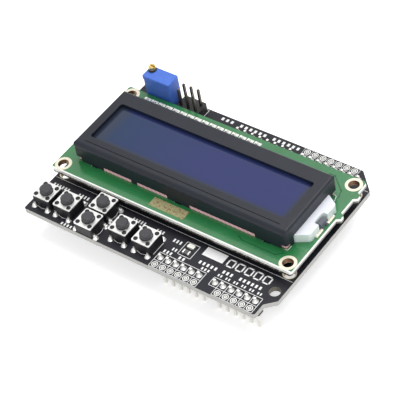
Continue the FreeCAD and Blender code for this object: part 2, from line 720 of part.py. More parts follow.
def plunger(x, y):
    # One moulding: a round cap on a flange that the cover holds in.
    rim = cover_low - PLUNGER_REST_GAP
    top = board_top + PLUNGER_TOP
    flange = prism(x, y, rim - FLANGE_HEIGHT, rim, plunger_flange, FLANGE_SIDES)
    cap = post(x, y, rim, top, plunger_diameter)
    return flange.fuse(cap.makeChamfer(PLUNGER_CHAMFER, level_edges(cap, top)))


def dome(x, y):
    # Snap dome that stands on the floor of the switch and presses back at the plunger.
    crown = dome_diameter - 2 * DOME_SLOPE
    cap = frustum(x, y, floor, floor + DOME_RISE, dome_diameter, crown, DOME_SIDES)
    hollow = cap.copy()
    hollow.translate(Vec(0, 0, -DOME_THICKNESS))
    return cap.cut(hollow)


def solder_cone(x, y, z):
    # A cone of solder around a pin.
    cone = frustum(x, y, z, z + SOLDER_HEIGHT, SOLDER_DIAMETER, SOLDER_TOP, SOLDER_SIDES)
    return cone.cut(bar(x, y, z - CUT, z + SOLDER_HEIGHT + CUT, PIN_WIDTH))


def solder_joints():
    cones = [solder_cone(x, y, board_top) for x, y in stacking_pins]
    cones += [solder_cone(x, y, lcd_top) for x, y in lcd_row]
    return Part.makeCompound(cones)


def chip(x, y, length=CHIP_LENGTH, width=CHIP_WIDTH, height=CHIP_HEIGHT):
    # A surface-mounted part as one block.
    return box(x - length / 2, x + length / 2, y - width / 2, y + width / 2, board_top, board_top + height)


def power_led():
    return chip(POWER_LED_X, POWER_LED_Y)


def led_resistor():
    return chip(POWER_LED_X, LED_RESISTOR_Y)


def ladder_resistors():
    return Part.makeCompound([chip(LADDER_FIRST_X + i * LADDER_STEP, LADDER_Y) for i in range(LADDER_COUNT)])


def backlight_transistor():
    return chip(TRANSISTOR_X, TRANSISTOR_Y, TRANSISTOR_LENGTH, TRANSISTOR_WIDTH, TRANSISTOR_HEIGHT)


os.makedirs("parts", exist_ok=True)
parts = {
    "shield_pcb": shield_pcb(),
    "lcd_pcb": lcd_pcb(),
    "lcd_bezel": lcd_bezel(),
    "lcd_glass": lcd_glass(),
    "backlight_block": backlight_block(),
    "backlight_led": backlight_led(),
    "front_zebra_strip": front_zebra_strip(),
    "rear_zebra_strip": rear_zebra_strip(),
    "driver_blobs": driver_blobs(),
    "lcd_header_strip": strip(lcd_pin_first_x, lcd_pin_y, LCD_PIN_COUNT, 1, board_top),
    "lcd_header_pins": lcd_header_pins(),
    "prog_header_strip": strip(PROG_FIRST_X, prog_first_y, PROG_COLUMNS, PROG_ROWS, board_top),
    "prog_header_pins": prog_header_pins(),
    "power_strip": stacking_strip(POWER_FIRST_X, POWER_COUNT, FRONT_PIN_Y),
    "power_pins": stacking_pin_row(power_row),
    "analog_strip": stacking_strip(analog_first_x, ANALOG_COUNT, FRONT_PIN_Y),
    "analog_pins": stacking_pin_row(analog_row),
    "digital_low_strip": stacking_strip(DIGITAL_LOW_FIRST_X, DIGITAL_LOW_COUNT, back_pin_y),
    "digital_low_pins": stacking_pin_row(digital_low_row),
    "digital_high_strip": stacking_strip(digital_high_first_x, DIGITAL_HIGH_COUNT, back_pin_y),
    "digital_high_pins": stacking_pin_row(digital_high_row),
    "trimmer_body": trimmer_body(),
    "trimmer_screw": trimmer_screw(),
    "trimmer_seal": trimmer_seal(),
    "trimmer_leads": trimmer_lead_pins(),
    "switch_domes": Part.makeCompound([dome(x, y) for name, x, y, turned in buttons]),
    "switch_leads": Part.makeCompound(all_lead_boxes(board_bottom - LEAD_BELOW, board_top + LEAD_TOP)),
    "solder_joints": solder_joints(),
    "power_led": power_led(),
    "led_resistor": led_resistor(),
    "ladder_resistors": ladder_resistors(),
    "backlight_transistor": backlight_transistor(),
}
for name, x, y, turned in buttons:
    parts[name + "_switch_base"] = switch_base(x, y)
    parts[name + "_switch_cover"] = switch_cover(x, y)
    parts[name + "_plunger"] = plunger(x, y)
for name, shape in parts.items():
    save(name, shape)
print(len(parts), "parts")
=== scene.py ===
import json
import math

import bmesh
import bpy
from mathutils import Euler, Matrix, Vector


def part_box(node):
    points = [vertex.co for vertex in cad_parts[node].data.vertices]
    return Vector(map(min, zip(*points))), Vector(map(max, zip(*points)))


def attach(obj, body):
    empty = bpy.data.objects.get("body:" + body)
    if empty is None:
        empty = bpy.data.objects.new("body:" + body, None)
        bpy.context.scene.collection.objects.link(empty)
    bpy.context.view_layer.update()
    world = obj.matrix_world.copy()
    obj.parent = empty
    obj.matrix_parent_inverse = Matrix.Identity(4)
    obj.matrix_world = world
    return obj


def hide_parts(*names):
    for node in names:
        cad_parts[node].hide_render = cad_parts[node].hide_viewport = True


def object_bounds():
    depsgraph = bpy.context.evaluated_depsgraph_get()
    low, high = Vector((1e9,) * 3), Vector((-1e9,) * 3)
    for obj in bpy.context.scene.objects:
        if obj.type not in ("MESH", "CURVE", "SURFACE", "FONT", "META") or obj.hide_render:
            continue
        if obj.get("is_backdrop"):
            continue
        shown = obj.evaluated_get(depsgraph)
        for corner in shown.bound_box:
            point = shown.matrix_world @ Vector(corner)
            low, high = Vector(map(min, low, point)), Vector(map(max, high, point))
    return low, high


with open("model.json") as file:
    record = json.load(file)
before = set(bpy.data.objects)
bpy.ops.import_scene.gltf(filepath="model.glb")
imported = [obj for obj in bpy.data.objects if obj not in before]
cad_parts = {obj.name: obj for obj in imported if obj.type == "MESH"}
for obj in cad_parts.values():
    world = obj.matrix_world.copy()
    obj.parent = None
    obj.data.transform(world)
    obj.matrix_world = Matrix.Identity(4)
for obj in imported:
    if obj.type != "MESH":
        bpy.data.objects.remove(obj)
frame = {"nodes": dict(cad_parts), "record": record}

# A plug-on display board with six push buttons, photographed from the front right and above
cadLow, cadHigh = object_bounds()
print("frame loaded, box in mm:", [round(v * 1000, 1) for v in cadHigh - cadLow])

mm = 0.001
pinPitch = 2.54
pinWidth = 0.64

# The header grid is the measure of the real board: its first power pin stands at these millimetres
firstPowerPin = (33.02, 2.54)
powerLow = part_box("power_pins")[0]
gridX = powerLow.x + (pinWidth / 2 - firstPowerPin[0]) * mm
gridY = powerLow.y + (pinWidth / 2 - firstPowerPin[1]) * mm
shieldLow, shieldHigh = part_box("shield_pcb")
lcdLow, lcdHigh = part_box("lcd_pcb")
bezelLow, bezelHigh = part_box("lcd_bezel")
shieldTop = shieldHigh.z
lcdTop = lcdHigh.z


def spot(x, y, z=0.0):
    # Grid millimetres and a height in metres to a place in the frame
    return Vector((gridX + x * mm, gridY + y * mm, z))


# Colours and nodes

def colour(hexText, alpha=1.0):
    # sRGB hex to linear
    channels = [int(hexText[i:i + 2], 16) / 255 for i in (1, 3, 5)]
    linear = [c / 12.92 if c <= 0.04045 else ((c + 0.055) / 1.055) ** 2.4 for c in channels]
    return (*linear, alpha)


def addNode(tree, kind, settings=None, links=None):
    # A node with its settings and its incoming links. Inputs are named, or numbered where names repeat.
    node = tree.nodes.new(kind)
    for name, value in (settings or {}).items():
        if isinstance(name, int) or name in node.inputs:
            node.inputs[name].default_value = value
        else:
            setattr(node, name, value)
    for name, socket in (links or {}).items():
        tree.links.new(socket, node.inputs[name])
    return node


def perMm(size):
    # Texture scale for a pattern with features of this many millimetres
    return 1000 / size


glossSpread = 0.15  # Share by which the roughness wanders up and down


def surface(name, facts):
    # A material with a mottled colour, uneven gloss and a fine grain, all from noise on object coordinates
    material = bpy.data.materials.new(name)
    material.use_nodes = True
    tree = material.node_tree
    shader = tree.nodes["Principled BSDF"]
    shader.inputs["IOR"].default_value = facts.get("ior", 1.5)
    shader.inputs["Metallic"].default_value = facts.get("metallic", 0.0)
    shader.inputs["Specular IOR Level"].default_value = facts.get("level", 0.5)
    shader.inputs["Coat Weight"].default_value = facts.get("coat", 0.0)
    shader.inputs["Coat Roughness"].default_value = facts.get("coatRoughness", 0.1)
    place = addNode(tree, "ShaderNodeTexCoord")
    mottle = addNode(tree, "ShaderNodeTexNoise", {"Scale": perMm(facts["mottle"]), "Detail": 3.0},
                     {"Vector": place.outputs["Object"]})
    tint = addNode(tree, "ShaderNodeMix",
                   {"data_type": "RGBA", 6: colour(facts["colour"]), 7: colour(facts["tint"])},
                   {0: mottle.outputs["Fac"]})
    tree.links.new(tint.outputs[2], shader.inputs["Base Color"])
    spread = facts["roughness"] * glossSpread
    gloss = addNode(tree, "ShaderNodeMapRange",
                    {"To Min": facts["roughness"] - spread, "To Max": facts["roughness"] + spread},
                    {"Value": mottle.outputs["Fac"]})
    tree.links.new(gloss.outputs["Result"], shader.inputs["Roughness"])
    grain = addNode(tree, "ShaderNodeTexNoise", {"Scale": perMm(facts["grain"]), "Detail": 2.0},
                    {"Vector": place.outputs["Object"]})
    bump = addNode(tree, "ShaderNodeBump",
                   {"Strength": facts.get("relief", 0.3), "Distance": facts["grain"] * mm / 4},
                   {"Height": grain.outputs["Fac"]})
    tree.links.new(bump.outputs["Normal"], shader.inputs["Normal"])
    return material, tree, shader, place, tint


def recolour(tree, shader, mask, hexText, below):
    # Where the mask is 1 the surface takes another colour over what it had
    over = addNode(tree, "ShaderNodeMix", {"data_type": "RGBA", 7: colour(hexText)}, {0: mask, 6: below})
    tree.links.new(over.outputs[2], shader.inputs["Base Color"])
    return over.outputs[2]


def belowMask(tree, place, axis, limit):
    # 1 where the place along an axis is below a limit
    position = addNode(tree, "ShaderNodeSeparateXYZ", links={"Vector": place.outputs["Object"]})
    low = addNode(tree, "ShaderNodeMath", {"operation": "LESS_THAN", 1: limit}, {0: position.outputs[axis]})
    return low.outputs["Value"]


def sideMask(tree):
    # 1 on upright faces, which on a board are its cut edges
    geometry = addNode(tree, "ShaderNodeNewGeometry")
    normal = addNode(tree, "ShaderNodeSeparateXYZ", links={"Vector": geometry.outputs["Normal"]})
    upright = addNode(tree, "ShaderNodeMath", {"operation": "ABSOLUTE"}, {0: normal.outputs["Z"]})
    side = addNode(tree, "ShaderNodeMath", {"operation": "LESS_THAN", 1: 0.5}, {0: upright.outputs["Value"]})
    return side.outputs["Value"]


# Black solder mask on glass-epoxy board: a smooth lacquer with a slight orange peel, pale sawn edges
blackMask = {"colour": "#13141a", "tint": "#1e1f28", "mottle": 2.5, "roughness": 0.5, "grain": 0.5,
             "relief": 0.25, "level": 0.3, "edge": "#b4b3b0"}
blackBoard, tree, shader, place, tint = surface("black_solder_mask", blackMask)
recolour(tree, shader, sideMask(tree), blackMask["edge"], tint.outputs[2])

# Green solder mask, thinner, so the copper under it shows as lighter and darker fields. A white strip along
# the front of its top is painted highlight for the lit front edge, and the lower part of the sawn edge has
# painted shade.
greenMask = {"colour": "#17692f", "tint": "#28814a", "mottle": 9.0, "roughness": 0.25, "grain": 0.7,
             "relief": 0.2, "coat": 0.9, "coatRoughness": 0.12, "edge": "#f8faf5", "edgeFootShade": "#4f4b40",
             "foot": 0.42, "rim": 0.4}
greenBoard, tree, shader, place, tint = surface("green_solder_mask", greenMask)
# Painted highlight: the front strip of the top takes the pale edge colour
rim = belowMask(tree, place, "Y", lcdLow.y + greenMask["rim"] * mm)
bare = addNode(tree, "ShaderNodeMath", {"operation": "MAXIMUM"}, {0: sideMask(tree), 1: rim})
sawn = recolour(tree, shader, bare.outputs["Value"], greenMask["edge"], tint.outputs[2])
# Painted shade: the sawn edge is darker below this height
shadeTop = lcdLow.z + greenMask["foot"] * (lcdHigh.z - lcdLow.z)
foot = addNode(tree, "ShaderNodeMath", {"operation": "MULTIPLY"},
               {0: sideMask(tree), 1: belowMask(tree, place, "Z", shadeTop)})
recolour(tree, shader, foot.outputs["Value"], greenMask["edgeFootShade"], sawn)

# Black stoved paint on folded steel: satin, with a fine orange peel
bezelPaint = surface("black_stoved_paint", {"colour": "#11151f", "tint": "#191e2a", "mottle": 6.0,
                                            "roughness": 0.4, "grain": 0.35, "relief": 0.3, "level": 0.36})[0]

# Polariser film on glass over a blue display: smooth and wet-looking, greener to the left, with a grey border
# at three edges of the window and a lighter one at the back, a painted reflection. Each has the millimetres
# over which it fades.
displayFilm = {"colour": "#1e2a60", "tint": "#222d66", "mottle": 14.0, "roughness": 0.15, "grain": 3.0,
               "relief": 0.02, "leftColour": "#082d52", "leftReach": 32.0, "backReflectionColour": "#2c3560",
               "border": "#2b3242", "left": (0.4, 5.0), "right": (0.9, 2.1), "front": (0.9, 2.1),
               "back": (1.3, 2.0)}
displayGlass, tree, shader, place, tint = surface("polariser_film", displayFilm)
# Millimetres from each side of the bezel to its window
window = {"left": 3.0, "right": 3.2, "front": 4.3, "back": 4.3}
position = addNode(tree, "ShaderNodeSeparateXYZ", links={"Vector": place.outputs["Object"]})
leftEdge = bezelLow.x + window["left"] * mm
rightEdge = bezelHigh.x - window["right"] * mm
frontEdge = bezelLow.y + window["front"] * mm
backEdge = bezelHigh.y - window["back"] * mm
greener = addNode(tree, "ShaderNodeMapRange",
                  {"From Min": leftEdge, "From Max": leftEdge + displayFilm["leftReach"] * mm,
                   "To Min": 1.0, "To Max": 0.0}, {"Value": position.outputs["X"]})
field = recolour(tree, shader, greener.outputs["Result"], displayFilm["leftColour"], tint.outputs[2])


def edgeFade(axis, edge, inwards, reach):
    # 1 at an edge of the window, down to 0 further in
    full, none = reach
    fade = addNode(tree, "ShaderNodeMapRange",
                   {"From Min": edge + inwards * full * mm, "From Max": edge + inwards * none * mm,
                    "To Min": 1.0, "To Max": 0.0}, {"Value": position.outputs[axis]})
    return fade.outputs["Result"]


# Painted reflection: the back of the window is lighter, standing in for the bright surround that the bezel's
# back wall hides
backReflectionFade = edgeFade("Y", backEdge, -1, displayFilm["back"])
field = recolour(tree, shader, backReflectionFade, displayFilm["backReflectionColour"], field)
border = edgeFade("X", leftEdge, 1, displayFilm["left"])
rightFade = edgeFade("X", rightEdge, -1, displayFilm["right"])
frontFade = edgeFade("Y", frontEdge, 1, displayFilm["front"])
for fade in (rightFade, frontFade):
    border = addNode(tree, "ShaderNodeMath", {"operation": "MAXIMUM"}, {0: border, 1: fade}).outputs["Value"]
recolour(tree, shader, border, displayFilm["border"], field)

# Milky acrylic light guide, moulded: white, softly glossy, lets a little light in
guideFacts = {"colour": "#e3e6f2", "tint": "#eef0f6", "mottle": 5.0, "roughness": 0.25, "grain": 0.8,
              "relief": 0.1, "ior": 1.49, "flank": "#ccd8d6", "scatter": 0.3, "depth": 1.5}
lightGuide, tree, shader, place, tint = surface("milky_acrylic", guideFacts)
recolour(tree, shader, sideMask(tree), guideFacts["flank"], tint.outputs[2])
shader.inputs["Subsurface Weight"].default_value = guideFacts["scatter"]
shader.inputs["Subsurface Radius"].default_value = (1.0, 1.0, 1.0)
shader.inputs["Subsurface Scale"].default_value = guideFacts["depth"] * mm

# Silicone contact strip with slanting carbon layers, drawn wider than the real ones so that they show
zebraFacts = {"colour": "#f3bcc4", "tint": "#f8d3d8", "mottle": 2.0, "roughness": 0.6, "grain": 0.4,
              "ior": 1.41, "layer": 1.2, "slant": 35, "carbon": "#e2a7b2"}
bandsInUnit = 3.14  # The wave node draws about this many bands in one unit
zebraRubber, tree, shader, place, tint = surface("silicone_zebra", zebraFacts)
slant = addNode(tree, "ShaderNodeMapping", {"Rotation": (0.0, math.radians(zebraFacts["slant"]), 0.0)},
                {"Vector": place.outputs["Object"]})
layers = addNode(tree, "ShaderNodeTexWave",
                 {"wave_type": "BANDS", "bands_direction": "X", "Distortion": 0.5,
                  "Scale": perMm(zebraFacts["layer"]) / bandsInUnit}, {"Vector": slant.outputs["Vector"]})
recolour(tree, shader, layers.outputs["Fac"], zebraFacts["carbon"], tint.outputs[2])

plainSurfaces = {
    # Dripped black epoxy: rounded and shiny
    "epoxyResin": ("black_epoxy", {"colour": "#0d0d0f", "tint": "#141416", "mottle": 3.0, "roughness": 0.25,
                                   "grain": 1.0}),
    # Glass-filled polyester of pin headers: matt, faintly grainy
    "headerPlastic": ("black_polyester", {"colour": "#141416", "tint": "#1d1d20", "mottle": 1.5,
                                          "roughness": 0.5, "grain": 0.25, "relief": 0.5}),
    # Brass pins with dull tin plating: pale grey, hardly shiny
    "pinTin": ("tinned_brass", {"colour": "#dad8d0", "tint": "#eceae4", "mottle": 0.8, "roughness": 0.42,
                                "metallic": 1.0, "grain": 0.2}),
    # The same plating, oxidised, on the pins that stand free: brownish grey. It also lines the corner screw
    # hole as painted shade
    "dullTinAndShade": ("dulled_tin_and_shade", {"colour": "#4f4c46", "tint": "#6b675f", "mottle": 0.8, "roughness": 0.42,
                               "metallic": 1.0, "grain": 0.2}),
    # Bright tinned legs: light grey with sharp glints
    "legTin": ("bright_tin", {"colour": "#c9c9c6", "tint": "#dcdcd8", "mottle": 0.6, "roughness": 0.3,
                              "metallic": 1.0, "grain": 0.2}),
    # Moulded blue polyester, semi-gloss
    "bluePlastic": ("blue_polyester", {"colour": "#3c65c6", "tint": "#4c78d8", "mottle": 2.0,
                                       "roughness": 0.4, "grain": 0.3, "relief": 0.35}),
    # Turned brass screw: pale yellow, with the clean gloss of a cut face
    "turnedBrass": ("turned_brass", {"colour": "#cdb05e", "tint": "#e6cf8c", "mottle": 0.7, "roughness": 0.32,
                                     "metallic": 1.0, "grain": 0.15}),
    # Moulded rubber ring: near black and dull
    "sealRubber": ("nitrile_rubber", {"colour": "#17181d", "tint": "#202127", "mottle": 1.0, "roughness": 0.6,
                                      "grain": 0.3}),
    # Rolled spring steel dome: smooth and grey
    "springSteel": ("spring_steel", {"colour": "#a6a6a4", "tint": "#bcbcba", "mottle": 1.0, "roughness": 0.3,
                                     "metallic": 1.0, "grain": 0.2}),
    # Tin solder: bright, frozen with small ripples
    "solderTin": ("tin_solder", {"colour": "#e2e2e0", "tint": "#f4f4f2", "mottle": 0.5, "roughness": 0.28,
                                 "metallic": 0.6, "grain": 0.5, "relief": 0.4}),
    # Fired ceramic chip bodies: dark grey and dull
    "chipCeramic": ("alumina_ceramic", {"colour": "#4e4e50", "tint": "#5c5c5e", "mottle": 0.6,
                                        "roughness": 0.5, "grain": 0.15}),
    # White moulded lamp: creamy, softly glossy
    "lampPlastic": ("white_epoxy_lamp", {"colour": "#e9e7dc", "tint": "#f6f4ea", "mottle": 0.8,
                                         "roughness": 0.3, "grain": 0.3}),
    # Moulded black nylon of the switch housings: matt, faintly grainy
    "switchNylon": ("black_nylon", {"colour": "#0e0e11", "tint": "#15151a", "mottle": 1.2, "roughness": 0.48,
                                    "grain": 0.25, "relief": 0.5, "level": 0.35}),
    # Tinned steel cover, bright with a faint rolling grain
    "coverSteel": ("tinned_steel", {"colour": "#dedddb", "tint": "#efeeec", "mottle": 0.9, "roughness": 0.32,
                                    "metallic": 0.9, "grain": 0.3}),
    # Dark grey nylon plunger, fine spark texture
    "plungerNylon": ("grey_nylon", {"colour": "#2f2d32", "tint": "#3a383d", "mottle": 1.0, "roughness": 0.5,
                                    "grain": 0.2, "relief": 0.6}),
    # White screen-printed ink: matt, a little uneven
    "whiteInk": ("white_ink", {"colour": "#e8e9e9", "tint": "#f8f8f8", "mottle": 0.7, "roughness": 0.6,
                               "grain": 0.2}),
    # Tinned copper rings: creamy and bright
    "ringTin": ("tinned_copper", {"colour": "#dcd6c0", "tint": "#ece6d4", "mottle": 0.8, "roughness": 0.4,
                                  "metallic": 0.3, "grain": 0.25}),
    # The same plating on the small pads: greyer and brighter
    "padTin": ("plated_tin", {"colour": "#e2e2df", "tint": "#f2f2ef", "mottle": 0.5, "roughness": 0.45,
                              "metallic": 0.2, "grain": 0.25}),
    # Copper plated on the walls of the screw holes: brown, half bright
    "holeCopper": ("plated_copper", {"colour": "#8a6c52", "tint": "#a88a6c", "mottle": 0.8, "roughness": 0.4,
                                     "metallic": 0.8, "grain": 0.25}),
    # Cast smoky resin of the display's side lamp: grey and shiny
    "smokyResin": ("smoky_resin", {"colour": "#40434e", "tint": "#6b6f7c", "mottle": 0.9, "roughness": 0.25,
                                   "grain": 0.3}),
    # Copper tracks under green mask: darker lines with their own slight height
    "trackMask": ("mask_over_copper", {"colour": "#0e4a28", "tint": "#175a34", "mottle": 2.0,
                                       "roughness": 0.25, "grain": 0.6}),
}
finish = {}
for key, (name, facts) in plainSurfaces.items():
    finish[key] = surface(name, facts)[0]

# Tan printed field on the display board: matt, worn, with small brown spots
tanFacts = {"colour": "#84875a", "tint": "#b5ad86", "mottle": 0.9, "roughness": 0.6, "grain": 0.25,
            "level": 0.3, "spots": 0.6, "spotColour": "#86694a", "spotFrom": 0.55, "spotTo": 0.62}
tanInk, tree, shader, place, tint = surface("tan_ink", tanFacts)
spots = addNode(tree, "ShaderNodeTexNoise", {"Scale": perMm(tanFacts["spots"]), "Detail": 1.0},
                {"Vector": place.outputs["Object"]})
worn = addNode(tree, "ShaderNodeMapRange", {"From Min": tanFacts["spotFrom"], "From Max": tanFacts["spotTo"]},
               {"Value": spots.outputs["Fac"]})
recolour(tree, shader, worn.outputs["Result"], tanFacts["spotColour"], tint.outputs[2])

finish.update(tanInk=tanInk, blackBoard=blackBoard, greenBoard=greenBoard, bezelPaint=bezelPaint,
              displayGlass=displayGlass, lightGuide=lightGuide, zebraRubber=zebraRubber)
print("materials made:", len(finish))

# CAD pieces take their finish by the material slot that the record gives them
slotFinish = {
    "black_board": "blackBoard", "green_board": "greenBoard", "bezel_steel": "bezelPaint",
    "display_glass": "displayGlass", "backlight_plastic": "lightGuide", "lamp_plastic": "lampPlastic",
    "contact_rubber": "zebraRubber", "black_resin": "epoxyResin", "header_plastic": "headerPlastic",
    "pin_metal": "pinTin", "leg_metal": "legTin", "trimmer_plastic": "bluePlastic",
    "trimmer_brass": "turnedBrass", "seal_rubber": "sealRubber", "dome_steel": "springSteel",
    "solder": "solderTin", "chip_ceramic": "chipCeramic", "switch_plastic": "switchNylon",
    "cover_steel": "coverSteel", "plunger_plastic": "plungerNylon",
}
# These differ from the rest of their slot
nodeFinish = {"prog_header_pins": "dullTinAndShade", "backlight_led": "smokyResin"}
for part in frame["record"]["subparts"]:
    key = nodeFinish.get(part["node"], slotFinish[part["material_slot"]])
    node = frame["nodes"][part["node"]]
    node.data.materials.clear()
    node.data.materials.append(finish[key])
print("CAD pieces finished:", len(frame["nodes"]))


# Modelling

def selectOnly(*pieces):
    bpy.ops.object.select_all(action="DESELECT")
    for piece in pieces:
        piece.select_set(True)
    bpy.context.view_layer.objects.active = pieces[0]


def settle(piece):
    # Puts a piece's place, turn and size into its mesh
    selectOnly(piece)
    bpy.ops.object.transform_apply(location=True, rotation=True, scale=True)
    return piece


def pickFaces(test):
    # In edit mode, selects the faces of the active mesh that pass a test
    bpy.ops.mesh.select_mode(type="FACE")
    bpy.ops.mesh.select_all(action="DESELECT")
    mesh = bmesh.from_edit_mesh(bpy.context.object.data)
    for face in mesh.faces:
        face.select_set(test(face))
    bmesh.update_edit_mesh(bpy.context.object.data)


def pickEdges(test):
    bpy.ops.mesh.select_mode(type="EDGE")
    bpy.ops.mesh.select_all(action="DESELECT")
    mesh = bmesh.from_edit_mesh(bpy.context.object.data)
    for edge in mesh.edges:
        edge.select_set(test(edge))
    bmesh.update_edit_mesh(bpy.context.object.data)


def addBar(low, high, edge=0.0):
    # A block between two corners. An edge above 0 rounds all its edges.
    bpy.ops.object.select_all(action="DESELECT")
    bpy.ops.mesh.primitive_cube_add(size=1, location=(low + high) / 2, scale=high - low)
    bar = settle(bpy.context.object)
    if edge > 0:
        bpy.ops.object.mode_set(mode="EDIT")
        bpy.ops.mesh.select_all(action="SELECT")
        bpy.ops.mesh.bevel(offset=edge, segments=2, affect="EDGES")
        bpy.ops.object.mode_set(mode="OBJECT")
    return bar


def addRing(centre, outer, inner, height, sides=36):
    # A flat ring or a sleeve round the middle of its foot: both ends of a cylinder are inset and bridged
    bpy.ops.object.select_all(action="DESELECT")
    middle = centre + Vector((0, 0, height / 2))
    bpy.ops.mesh.primitive_cylinder_add(vertices=sides, radius=outer, depth=height, location=middle)
    ring = settle(bpy.context.object)
    bpy.ops.object.mode_set(mode="EDIT")
    pickFaces(lambda face: abs(face.normal.z) > 0.5)
    bpy.ops.mesh.inset(thickness=outer - inner)
    bpy.ops.mesh.bridge_edge_loops()
    bpy.ops.object.mode_set(mode="OBJECT")
    return ring


def copyTo(piece, offset):
    # A copy with its own mesh, moved by an offset
    selectOnly(piece)
    bpy.ops.object.duplicate(linked=False)
    bpy.ops.transform.translate(value=offset)
    return settle(bpy.context.object)


def remove(piece):
    selectOnly(piece)
    bpy.ops.object.delete()


def joinAs(name, pieces, finishKey, body="board", smooth=None):
    # Joins pieces to one named object that rides on a body
    selectOnly(*pieces)
    if len(pieces) > 1:
        bpy.ops.object.join()
    whole = bpy.context.object
    settle(whole)
    whole.name = name
    whole.data.name = name
    whole.data.materials.clear()
    whole.data.materials.append(finish[finishKey])
    if smooth is not None:
        selectOnly(whole)
        bpy.ops.object.shade_smooth_by_angle(angle=math.radians(smooth))
    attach(whole, body)
    return whole


def roundOver(piece, size):
    # Takes the sharp rim off everything that a thin printed or plated layer has on top
    selectOnly(piece)
    bpy.ops.object.mode_set(mode="EDIT")
    pickEdges(lambda edge: sorted(face.normal.z > 0.5 for face in edge.link_faces) == [False, True])
    bpy.ops.mesh.bevel(offset=size, segments=1, affect="EDGES")
    bpy.ops.object.mode_set(mode="OBJECT")


# White printed lines and marks

inkFacts = {"line": 0.16, "fine": 0.12, "height": 0.02, "rim": 0.012, "arcSteps": 12}


def inkBar(x0, y0, x1, y1, top):
    # A printed field between two grid places
    return addBar(spot(x0, y0, top), spot(x1, y1, top + inkFacts["height"] * mm))


def inkLine(x0, y0, x1, y1, top, width=inkFacts["line"]):
    # A printed line along X or Y
    h = width / 2
    return inkBar(min(x0, x1) - h, min(y0, y1) - h, max(x0, x1) + h, max(y0, y1) + h, top)


def inkFrame(x0, y0, x1, y1, top, width=inkFacts["line"]):
    return [inkLine(x0, y0, x1, y0, top, width), inkLine(x0, y1, x1, y1, top, width),
            inkLine(x0, y0, x0, y1, top, width), inkLine(x1, y0, x1, y1, top, width)]


def inkArc(x, y, radius, start, sweep, top, width=inkFacts["fine"]):
    # A printed arc, spun from the end of the line
    a = math.radians(start)
    centre = spot(x, y, top + inkFacts["height"] * mm / 2)
    bpy.ops.object.select_all(action="DESELECT")
    bpy.ops.mesh.primitive_plane_add(size=1)
    arc = bpy.context.object
    arc.scale = (width * mm, inkFacts["height"] * mm, 1)
    arc.rotation_euler = (math.radians(90), 0, a)
    arc.location = centre + Vector((math.cos(a), math.sin(a), 0)) * radius * mm
    settle(arc)
    bpy.ops.object.mode_set(mode="EDIT")
    bpy.ops.mesh.select_all(action="SELECT")
    bpy.ops.mesh.spin(steps=inkFacts["arcSteps"], angle=-math.radians(sweep), center=centre, axis=(0, 0, 1))
    bpy.ops.mesh.select_all(action="SELECT")
    bpy.ops.mesh.normals_make_consistent(inside=False)
    bpy.ops.object.mode_set(mode="OBJECT")
    return arc


def inkStroke(x0, y0, x1, y1, top, width):
    # A printed line in any direction
    start, end = spot(x0, y0, top), spot(x1, y1, top)
    along = end - start
    height = inkFacts["height"] * mm
    bpy.ops.object.select_all(action="DESELECT")
    bpy.ops.mesh.primitive_cube_add(size=1, location=(start + end) / 2 + Vector((0, 0, height / 2)),
                                    scale=(along.length + width * mm, width * mm, height),
                                    rotation=(0, 0, math.atan2(along.y, along.x)))
    return settle(bpy.context.object)


def repeated(piece, step, count):
    # A piece and its copies, each one step further
    return [piece] + [copyTo(piece, step * i) for i in range(1, count)]


pitchStep = Vector((pinPitch * mm, 0, 0))

# Printed cells of the header rows. The first analog pin has no ring pad in front of it, so the left side of
# its cell ends at the middle line.
headerFacts = {
    "front": -1.15, "middle": 1.27, "back": 4.1,
    "cells": [{"x": 31.75, "count": 6, "bare": 0}, {"x": 49.53, "count": 6, "bare": 1}],
    "backX": 44.45, "backCells": 7, "backFront": 49.4, "backMiddle": 51.85, "backBack": 54.05,
}
shieldInk = []
h = headerFacts
for row in h["cells"]:
    lastX = row["x"] + row["count"] * pinPitch
    ringX = row["x"] + row["bare"] * pinPitch
    shieldInk.append(inkLine(row["x"], h["back"], lastX, h["back"], shieldTop))
    shieldInk.append(inkLine(row["x"], h["middle"], lastX, h["middle"], shieldTop))
    shieldInk.append(inkLine(ringX, h["front"], lastX, h["front"], shieldTop))
    if row["bare"]:
        shortSide = inkLine(row["x"], h["middle"], row["x"], h["back"], shieldTop)
        shieldInk += repeated(shortSide, pitchStep, row["bare"])
    longSide = inkLine(ringX, h["front"], ringX, h["back"], shieldTop)
    shieldInk += repeated(longSide, pitchStep, row["count"] + 1 - row["bare"])
backEnd = h["backX"] + h["backCells"] * pinPitch
for y in (h["backFront"], h["backMiddle"]):
    shieldInk.append(inkLine(h["backX"], y, backEnd, y, shieldTop, inkFacts["fine"]))
backSide = inkLine(h["backX"], h["backFront"], h["backX"], h["backBack"], shieldTop, inkFacts["fine"])
shieldInk += repeated(backSide, pitchStep, h["backCells"] + 1)

# Long line in front of the display and a short one behind it, outlines of the programming header and of
# the power lamp's place, a plain block and a row of hollow squares
boardInk = {"fineLines": [(-10.9, 12.37, 68.2, 12.37), (66.5, 48.2, 68.2, 48.2)],
            "prog": (3.8, 48.6, 11.85, 53.8), "lamp": (36.1, 5.9, 40.2, 10.6),
            "block": (42.0, 8.75, 48.6, 11.75), "squares": (49.8, 8.7, 63.2, 11.0),
            "count": 5, "gap": 0.9, "stroke": 0.42}
for line in boardInk["fineLines"]:
    shieldInk.append(inkLine(*line, shieldTop, inkFacts["fine"]))
shieldInk += inkFrame(*boardInk["prog"], shieldTop)
shieldInk += inkFrame(*boardInk["lamp"], shieldTop)
shieldInk.append(inkBar(*boardInk["block"], shieldTop))
x0, y0, x1, y1 = boardInk["squares"]
squareStep = (x1 - x0 + boardInk["gap"]) / boardInk["count"]
for side in inkFrame(x0, y0, x0 + squareStep - boardInk["gap"], y1, shieldTop, boardInk["stroke"]):
    shieldInk += repeated(side, Vector((squareStep * mm, 0, 0)), boardInk["count"])

